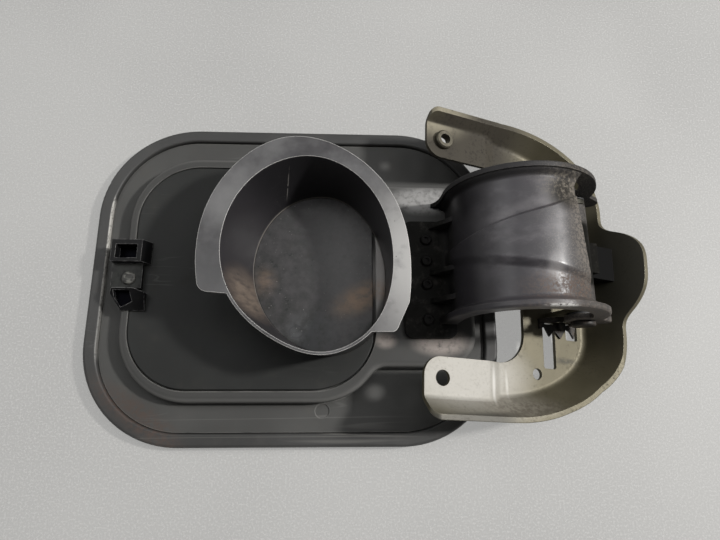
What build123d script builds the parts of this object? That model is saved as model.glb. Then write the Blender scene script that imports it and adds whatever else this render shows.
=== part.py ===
import os
from math import atan2, cos, radians, sin, sqrt

from build123d import *

os.makedirs("parts", exist_ok=True)

# Car fuel door lying on its outer face, seen from its inner side.
# X runs from the latch to the hinge, Y along the hinge pin, Z away from the road side.
# The origin is the middle of the door's outer face.

# Door skin
DOOR_L = 195.0
DOOR_W = 157.0
DOOR_R = 47.0
SKIN_T = 3.0
RIM_W = 6.2
RIM_H = 7.2
SKIN_EDGE_R = 3.2
RIM_TOP_R = 1.4
RIM_IN_R = 1.0

# Inner frame with its plateau and hinge platform
FRAME_T = 2.0
FRAME_FIT = 0.25
PLATEAU_H = 8.0
PLATEAU_X0 = -80.0
PLATEAU_X1 = 44.0
PLATEAU_Y0 = -59.0
PLATEAU_Y1 = 60.0
PLATEAU_R = 33.0
PLATEAU_EDGE_R = 3.0
PLATFORM_X1 = 86.0
PLATFORM_Y0 = -43.0
PLATFORM_Y1 = 47.0
PLATFORM_R = 15.0
PLATFORM_JOIN_R = 7.0
WALL_T = 2.0
LEDGE_W = 4.0
LEDGE_T = 2.0
MARK_X = 13.8
MARK_Y = -62.6
MARK_R = 3.3
MARK_D = 0.35

# Centre panel
PANEL_X0 = -76.0
PANEL_X1 = 38.8
PANEL_Y0 = -54.0
PANEL_Y1 = 55.0
PANEL_R = 29.0
PANEL_T = 2.0
PANEL_GAP = 0.45
PANEL_SHIFT = 0.25
PANEL_GAP_RIGHT = 1.5
PANEL_SINK = 0.4
PANEL_EDGE_R = 0.5

# Cap holder
CUP_WALL = 1.2
CUP_GROOVE = 0.8
CUP_FIT = 0.15
CUP_H = 32.0
CUP_FLANGE_T = 2.0
CUP_BASE = [(12.5, 41.0), (-9.5, 31.5), (-20.5, 6.0), (-14.5, -19.0), (5.0, -36.0), (22.0, -37.5),
            (38.0, -27.0), (44.6, -5.0), (38.0, 24.0)]
CUP_RIM = [(1.6, 46.0), (-21.0, 31.0), (-29.0, 6.0), (-24.0, -15.0), (-4.0, -34.0), (15.0, -39.4),
           (33.0, -31.0), (43.8, -3.0), (30.0, 36.5)]
FLANGE_BACK = [(-38.8, 2.0), (-33.0, 29.5), (-2.0, 55.6), (42.5, 31.5), (51.3, -4.0)]
FLANGE_LEFT_TAB = [(-38.3, -6.0), (-37.0, -14.7), (-20.0, -16.1)]
FLANGE_RIGHT_TAB = [(50.2, -19.0), (44.5, -31.2), (30.0, -31.2)]
TAB_LEFT_R = 4.8
TAB_RIGHT_R = 2.6

# Latch striker
LATCH_OUT = 4.5
LATCH_L = 14.0
LATCH_DRAFT = 3.0
LATCH_Y1 = 15.2
SOCKET_Y0 = 4.6
SOCKET_TOP = 6.0
SOCKET_SIDE = 2.0
SOCKET_L = 9.9
SOCKET_IN = 6.3
SOCKET_WALL = 2.3
SOCKET_D = 5.6
SEAT_TOP = 2.2
HOOD_Y = -7.4
HOOD_TOP = 4.0
HOOD_END_TOP = 0.4
HOOD_SHAPE = [(1.3, 0.0), (0.4, -2.2), (5.0, -10.1), (16.1, -10.2), (16.0, -2.0), (10.6, 0.0)]
HOOD_POCKET = [(2.0, -1.0), (2.4, -4.4), (5.3, -8.7), (10.5, -6.2), (9.2, -1.0)]
HOOD_D = 3.6
RIVET_IN = 8.0
RIVET_Y = -2.6
RIVET_R = 1.8
RIVET_HEAD_R = 3.1
RIVET_HEAD_H = 1.2
RIVET_HEAD_ROUND = 0.9
RIVET_TAIL = 1.5

# Hinge arm: an arch about a line along Y, open on the pivot side
HINGE_Y = 7.0
ARCH_X = 104.5
ARCH_Z = 28.0
ARCH_R = 31.0
ARCH_T = 3.0
ARCH_END_LOW = 49.0
ARCH_END_HIGH = 61.0
LIP_H = 4.0
LIP_T = 2.6
LIP_EDGE_R = 0.9
LIP_COVE = 3.2
LIP_FLARE = 3.2
ARM_HALF = 30.5
FOOT_X0 = 52.0
FOOT_T = 2.4
FOOT_Y0 = -30.0
FOOT_Y1 = 27.0
FOOT_R = 4.0
FOOT_FILLET = 4.0
GUSSET_T = 2.2
GUSSET_L = 9.0
GUSSET_H = 14.0
GUSSET_EDGE = 1.0
GUSSET_Y = [-12.5, 1.0, 24.0]
WEB_STEP = 0.3
WEB_ANGLES = [49.0, 68.0, 88.0, 108.0, 130.0, 153.0, 180.0]
RIDGE_SHARE = [0.688, 0.541, 0.384, 0.276, 0.172, 0.072, 0.043]
CREASE_SHARE = [-0.724, -0.652, -0.566, -0.498, -0.416, -0.326, -0.237]
RIDGE_H = 1.5
RIDGE_RUN = 1.6
CREASE_RUN = 4.2
WEB_CORNER = 9.0
NOSE_ARM = 11.0
NOSE_R = 4.4
HUB_TUBE_R = 6.3
HUB_TUBE_GAP = 0.5
BACK_T = 3.0
HEEL_L = 11.0
HEEL_HALF = 2.4
HEEL_SIDE = 1.0

# Screws of the arm's foot
SCREW_IN = 11.0
SCREW_ALONG = [8.6, 25.5, 37.0, 47.5]
SCREW_R = 1.6
SCREW_HEAD_R = 2.7
SCREW_HEAD_H = 1.5
SCREW_L = 7.0
SCREW_FIT = 0.1
SCREW_DRIVE_R = 1.2
SCREW_DRIVE_D = 0.8
SCREW_DRIVE_SIDES = 6

# Pivot
PIVOT_ARC = 27.5
PIVOT_ANGLE = -6.0
PIN_R = 3.0
PIN_HEAD_R = 5.4
PIN_HEAD_H = 2.0
PIN_RUN = 0.05
PIN_TIP = 2.2
PIN_CHAMFER = 0.5
BUSH_T = 1.4
BUSH_FLANGE_R = 6.2
BUSH_FLANGE_T = 1.0
HUB_R = 8.0
SIDE_PLAY = 0.3
LUG_T = 2.0
LUG_R = 6.2
LUG_FOOT_R = 0.5
CLIP_T = 0.8
CLIP_R = 5.2
CLIP_GROOVE_R = 2.4
CLIP_MOUTH = 3.6

# Bracket, drawn level in its own frame and then set on its tilt
BRACKET_TILT = 19.3
EAR_X = 65.4
EAR_Z = 32.0
SHEET_T = 1.8
FLOOR_DROP = 2.5
JOG_X0 = 26.5
JOG_X1 = 33.0
JOG_R = 5.0
BOWL_X = 85.5
BOWL_HALF = 64.3
BOWL_FLAT = 31.0
BOWL_RUN = 30.0
WALL_TOP = 27.0
WALL_FLARE_X = 0.46
WALL_FLARE_Y = 0.81
BEND_R = 3.0
RIM_LOW = [(33.0, 8.5), (62.0, 9.6), (79.0, 11.2), (90.0, 14.5)]
RIM_HIGH = [(33.0, 5.0), (85.5, 7.8)]
RIM_END_R = 4.0
BUMP_LINE = [(-28.0, 14.5), (-18.5, 19.0), (-8.0, 24.5), (2.0, 25.5), (11.5, 24.5), (19.5, 16.5), (28.0, 7.8)]
SHEET_SKEW = 2.8
EAR_END = -6.2
EAR_W = 17.3
EAR_CORNER = 8.0
GAP_X = 47.5
GAP_R = 14.0
EAR_HOLE_R = 3.4
EAR_HOLE_EDGE = 8.3
EAR_HOLE_X = 2.7
DRAIN_BACK = 31.0
DRAIN_EDGE = 13.5
DRAIN_R = 2.6
SLOT_BACK = 23.3
SLOT_W = 7.2
SLOT_L = 21.8
SLOT_EDGE = 16.5
SLOT_R = 1.2
WINDOW_BACK = 9.5
WINDOW_W = 7.0
WINDOW_L = 7.9
WINDOW_EDGE = 30.9
WINDOW_R = 0.8

# Threaded collar of the upper ear
NUT_R = 4.6
NUT_H = 2.4
NUT_SHANK_R = 3.4
NUT_BORE_R = 2.5
NUT_CHAMFER = 0.6

# Spring plate on the bracket's floor
SPRING_T = 1.0
SPRING_BACK = 10.3
SPRING_L = 21.5
SPRING_CLEAR = 0.6
SPRING_TEETH = [(0.0, 4.8), (3.0, 3.8), (5.5, 8.3), (8.5, 5.4), (12.0, 9.2), (15.5, 4.4), (18.0, 5.4),
                (20.1, 8.8), (21.5, 4.2)]
SPRING_LEAF_W = 2.4
SPRING_LEAF_GAP = 0.5
SPRING_TAB = 3.0
SPRING_RIVET_ALONG = 12.9
SPRING_RIVET_IN = 3.2
SPRING_RIVET_R = 1.4
SPRING_RIVET_HEAD_R = 2.2
SPRING_RIVET_HEAD_H = 0.9

# Rubber buffer on the tall wall
BUFFER_HALF = 8.2
BUFFER_OFF = 3.4
BUFFER_Z0 = 4.0
BUFFER_GAP = 0.3
BUFFER_EDGE = 0.8
BUFFER_PEG_R = 2.5
BUFFER_PEG_HEAD_R = 4.0
BUFFER_PEG_HEAD_H = 1.2

# How far a cutter runs past a face, how close two places count as one, and a length past every piece
OVER = 1.0
NEAR = 0.01
FAR = 130.0
STAND = (Align.CENTER, Align.CENTER, Align.MIN)

# Levels and places that follow from the sizes above
LATCH_X0 = PLATEAU_X0 - LATCH_OUT
LATCH_X1 = LATCH_X0 + LATCH_L
SOCKET_X0 = LATCH_X0 + SOCKET_SIDE
SOCKET_X1 = SOCKET_X0 + SOCKET_L
RIVET_X = LATCH_X0 + RIVET_IN
HOOD_END_Y = HOOD_Y + min(y for x, y in HOOD_SHAPE)
SCREW_X = FOOT_X0 + SCREW_IN
SCREW_Y = [FOOT_Y0 + y for y in SCREW_ALONG]
FRAME_Z = SKIN_T + FRAME_T
PLATEAU_Z = FRAME_Z + PLATEAU_H
PANEL_Z1 = PLATEAU_Z - PANEL_SINK
PANEL_Z0 = PANEL_Z1 - PANEL_T
CUP_Z0 = PANEL_Z1 - CUP_GROOVE
CUP_Z1 = PANEL_Z1 + CUP_H
FOOT_Z1 = PLATEAU_Z + FOOT_T
ARM_IN = ARM_HALF - LIP_T
PIVOT_X = ARCH_X + PIVOT_ARC * cos(radians(PIVOT_ANGLE))
PIVOT_Z = ARCH_Z + PIVOT_ARC * sin(radians(PIVOT_ANGLE))
BUSH_R = PIN_R + PIN_RUN + BUSH_T
LUG_OUT = ARM_IN - BUSH_FLANGE_T - SIDE_PLAY
LUG_IN = LUG_OUT - LUG_T
PIN_END = ARM_HALF + SIDE_PLAY
TILT = radians(BRACKET_TILT)
FLOOR_Z1 = -FLOOR_DROP
FLOOR_Z0 = FLOOR_Z1 - SHEET_T
SKEWED = Pos(EAR_HOLE_X, 0) * Rot(0, 0, -SHEET_SKEW) * Pos(-EAR_HOLE_X, 0)

EAR_IN = BOWL_HALF - EAR_W
EAR_HOLE_OFF = BOWL_HALF - EAR_HOLE_EDGE

# The pivot seen in the bracket's own frame, and what follows from it
PIVOT_BX = (PIVOT_X - EAR_X) * cos(TILT) - (PIVOT_Z - EAR_Z) * sin(TILT)
PIVOT_BZ = (PIVOT_X - EAR_X) * sin(TILT) + (PIVOT_Z - EAR_Z) * cos(TILT)
NOSE_X = PIVOT_X + NOSE_ARM * cos(TILT)
NOSE_Z = PIVOT_Z - NOSE_ARM * sin(TILT)
SPRING_X0 = PIVOT_BX - SPRING_BACK
SPRING_X1 = SPRING_X0 + SPRING_L
SPRING_Y = -LUG_OUT - SPRING_CLEAR
SPRING_RIVET = (SPRING_X0 + SPRING_RIVET_ALONG, SPRING_Y - SPRING_RIVET_IN)
BUFFER_X0 = PIVOT_BX + HUB_TUBE_R + BUFFER_GAP
BUFFER_Z1 = PIVOT_BZ - HEEL_HALF - BUFFER_GAP
BUFFER_U = BUFFER_OFF - (BUFFER_X0 + HEEL_L / 2 - EAR_HOLE_X) * sin(radians(SHEET_SKEW))
SKEWED_BUFFER_X = (EAR_HOLE_X + (BUFFER_X0 - EAR_HOLE_X) / cos(radians(SHEET_SKEW))
                   + BUFFER_HALF * sin(radians(SHEET_SKEW)))
BRACKET_FRAME = Plane(origin=(EAR_X, HINGE_Y, EAR_Z), x_dir=(cos(TILT), 0, -sin(TILT)),
                      z_dir=(sin(TILT), 0, cos(TILT)))


def rounded(x0, x1, y0, y1, r):
    return Pos((x0 + x1) / 2, (y0 + y1) / 2) * RectangleRounded(x1 - x0, y1 - y0, r)


def prism(face, z0, z1):
    return extrude(Pos(0, 0, z0) * face, z1 - z0)


def block(x0, x1, y0, y1, z0, z1):
    return Pos(x0, y0, z0) * Box(x1 - x0, y1 - y0, z1 - z0, align=(Align.MIN, Align.MIN, Align.MIN))


def moved_out(points, grow):
    """Points of a loop that runs anticlockwise, each moved out by grow along its normal."""
    moved = []
    for i, (x, y) in enumerate(points):
        ax, ay = points[i - 1]
        bx, by = points[(i + 1) % len(points)]
        a = atan2(by - ay, bx - ax)
        moved.append((x + grow * sin(a), y - grow * cos(a)))
    return moved


def oval(points, grow=0.0):
    return make_face(Spline(moved_out(points, grow), periodic=True))


def polygon(points):
    return make_face(Polyline(points, close=True))


def across(face_xz, y0, y1):
    """Solid of a face drawn in X and Z, from y0 to y1."""
    sketch = Plane(origin=(0, y1, 0), x_dir=(1, 0, 0), z_dir=(0, -1, 0)) * face_xz
    return extrude(sketch, y1 - y0)


def rod(x, z, r, y0, y1):
    return Pos(x, (y0 + y1) / 2, z) * Rot(90, 0, 0) * Cylinder(r, abs(y1 - y0))


def arch_at(r, a):
    return (ARCH_X + r * cos(radians(a)), ARCH_Z + r * sin(radians(a)))


def arch_band(r_in, r_out, a0, z_foot, flare=0.0):
    """Arch band from angle a0 over to the left side, then down to the foot, its outer line flared there."""
    mid = (a0 + 180) / 2
    p = [arch_at(r_out, a) for a in (a0, mid, 180)]
    q = [arch_at(r_in, a) for a in (180, mid, a0)]
    foot_out = (p[2][0] - flare, z_foot)
    foot_in = (q[0][0], z_foot)
    outer = Spline([p[2], foot_out], tangents=[(0, -1), (-flare, -flare)]) if flare else Line(p[2], foot_out)
    return make_face([ThreePointArc(*p), outer, Line(foot_out, foot_in), Line(foot_in, q[0]),
                      ThreePointArc(*q), Line(q[2], p[0])])


def save(shape, name):
    shape.label = name
    export_step(shape, "parts/" + name + ".step")


# Door skin: a shallow tray with a rim all round
door_face = RectangleRounded(DOOR_L, DOOR_W, DOOR_R)
pocket_face = RectangleRounded(DOOR_L - 2 * RIM_W, DOOR_W - 2 * RIM_W, DOOR_R - RIM_W)
skin = prism(door_face, 0, RIM_H)
skin = fillet(skin.faces().sort_by(Axis.Z)[0].edges(), SKIN_EDGE_R)
skin = fillet(skin.faces().sort_by(Axis.Z)[-1].edges(), RIM_TOP_R)
skin = skin - prism(pocket_face, SKIN_T, RIM_H + OVER)
rim_top = skin.faces().sort_by(Axis.Z)[-1]
skin = fillet(rim_top.inner_wires()[0].edges(), RIM_IN_R)
save(skin, "outer_skin")

# Inner frame: flat border, raised plateau, hinge platform, seat for the centre panel
border_face = RectangleRounded(DOOR_L - 2 * (RIM_W + FRAME_FIT), DOOR_W - 2 * (RIM_W + FRAME_FIT),
                               DOOR_R - RIM_W - FRAME_FIT)
plateau_face = rounded(PLATEAU_X0, PLATEAU_X1, PLATEAU_Y0, PLATEAU_Y1, PLATEAU_R)
platform_face = rounded(0, PLATFORM_X1, PLATFORM_Y0, PLATFORM_Y1, PLATFORM_R)
raised_face = plateau_face + platform_face
joins = [v for v in raised_face.vertices() if abs(v.X - PLATEAU_X1) < PLATEAU_R / 2
         and min(abs(v.Y - PLATFORM_Y0), abs(v.Y - PLATFORM_Y1)) < NEAR]
raised_face = fillet(joins, PLATFORM_JOIN_R)
raised = prism(raised_face, FRAME_Z, PLATEAU_Z)
raised = fillet(raised.faces().sort_by(Axis.Z)[-1].edges(), PLATEAU_EDGE_R)
hollow = prism(offset(raised_face, -WALL_T), SKIN_T, PLATEAU_Z - WALL_T)
seat_face = rounded(PANEL_X0, PANEL_X1, PANEL_Y0, PANEL_Y1, PANEL_R)
open_face = rounded(PANEL_X0 + LEDGE_W, PANEL_X1 - LEDGE_W, PANEL_Y0 + LEDGE_W, PANEL_Y1 - LEDGE_W,
                    PANEL_R - LEDGE_W)
ledge = prism(offset(seat_face, WALL_T), PANEL_Z0 - LEDGE_T, PLATEAU_Z - WALL_T)
ledge = ledge & prism(raised_face, 0, PLATEAU_Z)
frame = prism(border_face, SKIN_T, FRAME_Z) + raised - hollow + ledge
frame = frame - prism(seat_face, PANEL_Z0, PLATEAU_Z + OVER) - prism(open_face, SKIN_T, PLATEAU_Z)
for y in SCREW_Y:
    frame = frame - Pos(SCREW_X, y, PLATEAU_Z) * Cylinder(SCREW_R, 3 * WALL_T)
frame = frame - Pos(RIVET_X, RIVET_Y, PLATEAU_Z) * Cylinder(RIVET_R, 2 * PLATEAU_H - 2 * FRAME_T)
frame = frame - Pos(MARK_X, MARK_Y, FRAME_Z) * Cylinder(MARK_R, 2 * MARK_D)

# Centre panel
panel_face = Pos(-PANEL_SHIFT, PANEL_SHIFT) * rounded(
    PANEL_X0 + PANEL_GAP, PANEL_X1 - PANEL_GAP, PANEL_Y0 + PANEL_GAP, PANEL_Y1 - PANEL_GAP,
    PANEL_R - PANEL_GAP)
panel_face = panel_face & polygon([(-FAR, -FAR), (PANEL_X1 - PANEL_GAP_RIGHT, -FAR),
                                   (PANEL_X1 - PANEL_GAP_RIGHT, FAR), (-FAR, FAR)])
panel = prism(panel_face, PANEL_Z0, PANEL_Z1)
panel = fillet(panel.faces().sort_by(Axis.Z)[-1].edges(), PANEL_EDGE_R)

# The cap holder stands in a groove cut across the panel and the frame
groove = prism(oval(CUP_BASE, CUP_FIT), CUP_Z0, PLATEAU_Z + OVER)
groove = groove - prism(oval(CUP_BASE, -CUP_WALL - CUP_FIT), CUP_Z0, PLATEAU_Z + OVER)
panel = panel - groove
frame = frame - groove
panel = panel - Pos(RIVET_X, RIVET_Y, PANEL_Z1) * Cylinder(RIVET_R, 3 * PANEL_T)
save(frame, "inner_frame")
save(panel, "centre_panel")

# Cap holder: tapered oval wall, crescent flange round the far side
cup_out = loft([Pos(0, 0, PLATEAU_Z) * oval(CUP_BASE), Pos(0, 0, CUP_Z1) * oval(CUP_RIM, CUP_WALL)])
cup_out = cup_out + prism(oval(CUP_BASE), CUP_Z0, PLATEAU_Z)
cup_in = loft([Pos(0, 0, PLATEAU_Z) * oval(CUP_BASE, -CUP_WALL), Pos(0, 0, CUP_Z1) * oval(CUP_RIM)])
cup_in = cup_in + prism(oval(CUP_BASE, -CUP_WALL), CUP_Z0, PLATEAU_Z)
flange_face = make_face([
    Spline([FLANGE_LEFT_TAB[0]] + FLANGE_BACK + [FLANGE_RIGHT_TAB[0]]),
    Polyline(FLANGE_RIGHT_TAB + FLANGE_LEFT_TAB[::-1])])
for tab, r in ((FLANGE_LEFT_TAB, TAB_LEFT_R), (FLANGE_RIGHT_TAB, TAB_RIGHT_R)):
    corner = [v for v in flange_face.vertices() if abs(v.X - tab[1][0]) + abs(v.Y - tab[1][1]) < NEAR]
    flange_face = fillet(corner, r)
flange = prism(flange_face, CUP_Z1 - CUP_FLANGE_T, CUP_Z1)
cup = cup_out + (flange - prism(oval(CUP_RIM), 0, CUP_Z1)) - cup_in
save(cup, "cap_holder")

# Latch striker: socket block with a sloped side, riveted seat, slanted hood with a pocket
latch_top = PLATEAU_Z + SOCKET_TOP
latch = block(LATCH_X0, LATCH_X1, SOCKET_Y0, LATCH_Y1, FRAME_Z, latch_top)
latch_side = polygon([(LATCH_X1, PANEL_Z1), (LATCH_X1 + LATCH_DRAFT, PANEL_Z1), (LATCH_X1, latch_top)])
latch = latch + across(latch_side, SOCKET_Y0, LATCH_Y1)
latch = latch + block(LATCH_X0, LATCH_X1, HOOD_Y, SOCKET_Y0, FRAME_Z, PLATEAU_Z + SEAT_TOP)
hood_end = HOOD_END_Y - OVER
hood_slope = polygon([(hood_end, FRAME_Z), (HOOD_Y, FRAME_Z), (HOOD_Y, PLATEAU_Z + HOOD_TOP),
                      (hood_end, PLATEAU_Z + HOOD_END_TOP)])
hood_slope = extrude(Plane(origin=(-FAR, 0, 0), x_dir=(0, 1, 0), z_dir=(1, 0, 0)) * hood_slope, FAR)
hood_face, hood_pocket = [polygon([(LATCH_X0 + x, HOOD_Y + y) for x, y in shape])
                          for shape in (HOOD_SHAPE, HOOD_POCKET)]
hood = prism(hood_face, FRAME_Z, PLATEAU_Z + HOOD_TOP) & hood_slope
hood = hood - prism(hood_pocket, PLATEAU_Z + HOOD_TOP - HOOD_D, PLATEAU_Z + HOOD_TOP)
latch = latch + hood
latch = latch - block(SOCKET_X0, SOCKET_X1, SOCKET_IN, LATCH_Y1 - SOCKET_WALL,
                      PLATEAU_Z + SOCKET_TOP - SOCKET_D, PLATEAU_Z + SOCKET_TOP)
latch = latch - raised
latch = latch - prism(panel_face, PANEL_Z0, PANEL_Z1)
latch = latch - Pos(RIVET_X, RIVET_Y, PLATEAU_Z) * Cylinder(RIVET_R, 3 * LATCH_Y1)
save(latch, "latch_striker")
rivet = Pos(RIVET_X, RIVET_Y, PLATEAU_Z + SEAT_TOP) * Cylinder(
    RIVET_HEAD_R, RIVET_HEAD_H, align=STAND)
rivet = fillet(rivet.edges().sort_by(Axis.Z)[-1], RIVET_HEAD_ROUND)
rivet_low = PANEL_Z0 - LEDGE_T - RIVET_TAIL
rivet = rivet + Pos(RIVET_X, RIVET_Y, rivet_low) * Cylinder(
    RIVET_R, PLATEAU_Z + SEAT_TOP - rivet_low, align=STAND)
save(rivet, "latch_rivet")

# Hinge arm: web over the arch, cheeks with raised lips, hub tube with its heel, foot


def web_section(angle, ridge_share, crease_share):
    """Cut through the web at an angle of the arch: a raised field from crease to ridge, coved at the lips."""
    ridge = ridge_share * ARM_IN
    crease = crease_share * ARM_IN
    field_r = ARCH_R + RIDGE_H
    lip_y = ARM_IN + LIP_COVE / 4
    lip_r = ARCH_R + LIP_COVE
    flat_y = ARM_IN - LIP_COVE
    inward = (-1, 0)
    top = [Spline([(lip_y, lip_r), (flat_y, ARCH_R)], tangents=[inward, inward]),
           Line((flat_y, ARCH_R), (ridge + RIDGE_RUN, ARCH_R)),
           Spline([(ridge + RIDGE_RUN, ARCH_R), (ridge, field_r)], tangents=[inward, inward]),
           Line((ridge, field_r), (crease + CREASE_RUN, field_r)),
           Spline([(crease + CREASE_RUN, field_r), (crease, ARCH_R)], tangents=[inward, inward]),
           Line((crease, ARCH_R), (-flat_y, ARCH_R)),
           Spline([(-flat_y, ARCH_R), (-lip_y, lip_r)], tangents=[inward, inward])]
    side = ARM_IN + LIP_T / 2
    low = ARCH_R - ARCH_T + WEB_STEP
    edge = Polyline([(-lip_y, lip_r), (-side, lip_r), (-side, low),
                     (side, low), (side, lip_r), (lip_y, lip_r)])
    a = radians(angle)
    place = Plane(origin=(ARCH_X, HINGE_Y, ARCH_Z), x_dir=(0, 1, 0), z_dir=(sin(a), 0, -cos(a)))
    return place * make_face(top + [edge])


sections = [web_section(*cut) for cut in zip(WEB_ANGLES, RIDGE_SHARE, CREASE_SHARE)]
web = loft(sections) + extrude(sections[-1], ARCH_Z - PLATEAU_Z, dir=(0, 0, -1))
end_low = arch_at(ARCH_R, ARCH_END_LOW)[0]
end_high = arch_at(ARCH_R, ARCH_END_HIGH)[0]
web = web - prism(polygon([(end_low, HINGE_Y - ARM_HALF), (FAR + end_low, HINGE_Y - ARM_HALF),
                           (FAR + end_low, HINGE_Y + ARM_HALF), (end_low, HINGE_Y + ARM_HALF),
                           (end_high, HINGE_Y + ARM_HALF - WEB_CORNER)]), ARCH_Z, FAR)
lip_face = arch_band(ARCH_R - ARCH_T, ARCH_R + LIP_H, PIVOT_ANGLE, PLATEAU_Z, LIP_FLARE)
hub_round = Pos(PIVOT_X, PIVOT_Z) * Circle(HUB_R)
nose_round = Pos(NOSE_X, NOSE_Z) * Circle(NOSE_R)
hub_face = make_hull(hub_round.edges() + nose_round.edges())


def cheek(y0, y1, outer):
    """Lip and hub of one side, outer lines rounded; outer is 0 for the low side and -1 for the high one."""
    lip = across(lip_face, y0, y1)
    lip_edges = lip.faces().sort_by(Axis.Y)[outer].edges()
    lip_edges = lip_edges.filter_by(GeomType.BSPLINE) + [
        e for e in lip_edges.filter_by(GeomType.CIRCLE) if e.radius > ARCH_R]
    hub = across(hub_face, y0, y1)
    hub_edges = hub.faces().sort_by(Axis.Y)[outer].edges()
    return fillet(lip_edges, LIP_EDGE_R) + fillet(hub_edges, LIP_EDGE_R)


cheek_low = cheek(HINGE_Y - ARM_HALF, HINGE_Y - ARM_IN, 0)
cheek_high = cheek(HINGE_Y + ARM_IN, HINGE_Y + ARM_HALF, -1)
foot = prism(rounded(FOOT_X0, ARCH_X - ARCH_R + ARCH_T, FOOT_Y0, FOOT_Y1, FOOT_R), PLATEAU_Z, FOOT_Z1)
tube_half = LUG_IN - HUB_TUBE_GAP
tube = rod(PIVOT_X, PIVOT_Z, HUB_TUBE_R, HINGE_Y - tube_half, HINGE_Y + tube_half)
back_top = arch_at(ARCH_R - ARCH_T / 2, ARCH_END_HIGH - OVER)
back_foot = (PIVOT_X - HUB_TUBE_R + BACK_T, PIVOT_Z + BACK_T)
back = polygon([back_top, (back_top[0] + BACK_T, back_top[1] - BACK_T), (back_foot[0] + BACK_T, back_foot[1]),
                back_foot, (back_top[0] - OVER, back_top[1] - BACK_T)])
heel = polygon([(0, -HEEL_HALF), (HEEL_L, -HEEL_HALF), (HEEL_L, HEEL_HALF), (0, HEEL_HALF)])
heel_frame = Plane(origin=(PIVOT_X, HINGE_Y + BUFFER_U, PIVOT_Z), x_dir=(cos(TILT), 0, -sin(TILT)),
                   z_dir=(sin(TILT), 0, cos(TILT)))
heel = heel_frame * across(heel, HEEL_SIDE - BUFFER_HALF, BUFFER_HALF - HEEL_SIDE)
back = across(back, HINGE_Y - tube_half, HINGE_Y + tube_half)
arm = web + cheek_low + cheek_high + foot + tube + back + heel
arm = arm - rod(PIVOT_X, PIVOT_Z, PIN_R + PIN_RUN, HINGE_Y - tube_half - OVER, HINGE_Y + tube_half + OVER)
for y in GUSSET_Y:
    tip = ARCH_X - ARCH_R
    gusset = polygon([(tip + OVER, PLATEAU_Z), (tip - GUSSET_L, PLATEAU_Z),
                      (tip - GUSSET_L, FOOT_Z1 + GUSSET_EDGE), (tip + OVER, FOOT_Z1 + GUSSET_H)])
    arm = arm + across(gusset, y - GUSSET_T / 2, y + GUSSET_T / 2)
cove_x = ARCH_X - ARCH_R
cove_mid = FOOT_FILLET * (1 - sin(radians(45)))
cove_low = FOOT_Z1 - OVER
cove_top = FOOT_Z1 + FOOT_FILLET
cove = make_face([Polyline([(cove_x, cove_top), (cove_x + OVER, cove_top), (cove_x + OVER, cove_low),
                            (cove_x - FOOT_FILLET, cove_low), (cove_x - FOOT_FILLET, FOOT_Z1)]),
                  ThreePointArc((cove_x - FOOT_FILLET, FOOT_Z1), (cove_x - cove_mid, FOOT_Z1 + cove_mid),
                                (cove_x, cove_top))])
arm = arm + across(cove, HINGE_Y - ARM_IN, FOOT_Y1 - FOOT_R)
for side in (-1, 1):
    bush_ends = [HINGE_Y + side * (ARM_IN - OVER), HINGE_Y + side * (ARM_HALF + OVER)]
    arm = arm - rod(PIVOT_X, PIVOT_Z, BUSH_R, *bush_ends)
for y in SCREW_Y:
    arm = arm - Pos(SCREW_X, y, PLATEAU_Z) * Cylinder(SCREW_R + SCREW_FIT, 4 * FOOT_T)
save(arm, "hinge_arm")

# Bracket: a pressed sheet, drawn as the space outside a bowl less the space inside it
FLOOR_PROFILE_TOP = [(-FAR, 0), (JOG_X0, 0), (JOG_X1, FLOOR_Z1), (FAR, FLOOR_Z1)]


def bowl_face(z, shrink_x=0.0, shrink_y=0.0):
    """Outline of the bowl at height z over the ears, its far side rounded like part of an oval."""
    x_far = BOWL_X + WALL_FLARE_X * (z - FLOOR_Z1) - shrink_x
    half = BOWL_HALF + WALL_FLARE_Y * (z - FLOOR_Z1) - shrink_y
    return make_face([
        Line((-FAR, -half), (BOWL_RUN, -half)),
        EllipticalCenterArc((BOWL_RUN, -BOWL_FLAT), x_far - BOWL_RUN, half - BOWL_FLAT, 270, arc_size=90),
        Line((x_far, -BOWL_FLAT), (x_far, BOWL_FLAT)),
        EllipticalCenterArc((BOWL_RUN, BOWL_FLAT), x_far - BOWL_RUN, half - BOWL_FLAT, 0, arc_size=90),
        Line((BOWL_RUN, half), (-FAR, half)),
        Line((-FAR, half), (-FAR, -half))])


def over_floor(drop):
    """All of the space over the floor line, the line lowered by drop."""
    line = [(x, z - drop) for x, z in FLOOR_PROFILE_TOP]
    face = polygon(line + [(FAR, FAR), (-FAR, FAR)])
    bends = [v for v in face.vertices() if abs(v.X) < FAR / 2]
    return across(fillet(bends, JOG_R), -FAR, FAR)


def bowl(drop, grow_x, grow_y, bend):
    solid = loft([Pos(0, 0, FLOOR_Z0) * bowl_face(FLOOR_Z0, grow_x, grow_y),
                  Pos(0, 0, WALL_TOP) * bowl_face(WALL_TOP, grow_x, grow_y)], ruled=True)
    solid = solid & over_floor(drop)
    foot_edges = [e for e in solid.edges() if e.bounding_box().max.Z < OVER and e.center().X > OVER - FAR
                  and (abs(e.center().Y) > OVER or e.center().X > JOG_X1 + JOG_R)]
    return fillet(foot_edges, bend)


thick_x = SHEET_T * sqrt(1 + WALL_FLARE_X ** 2)
thick_y = SHEET_T * sqrt(1 + WALL_FLARE_Y ** 2)
outside = bowl(SHEET_T, 0, 0, BEND_R + SHEET_T)
inside = bowl(0, thick_x, thick_y, BEND_R)
bracket = outside - inside

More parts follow.
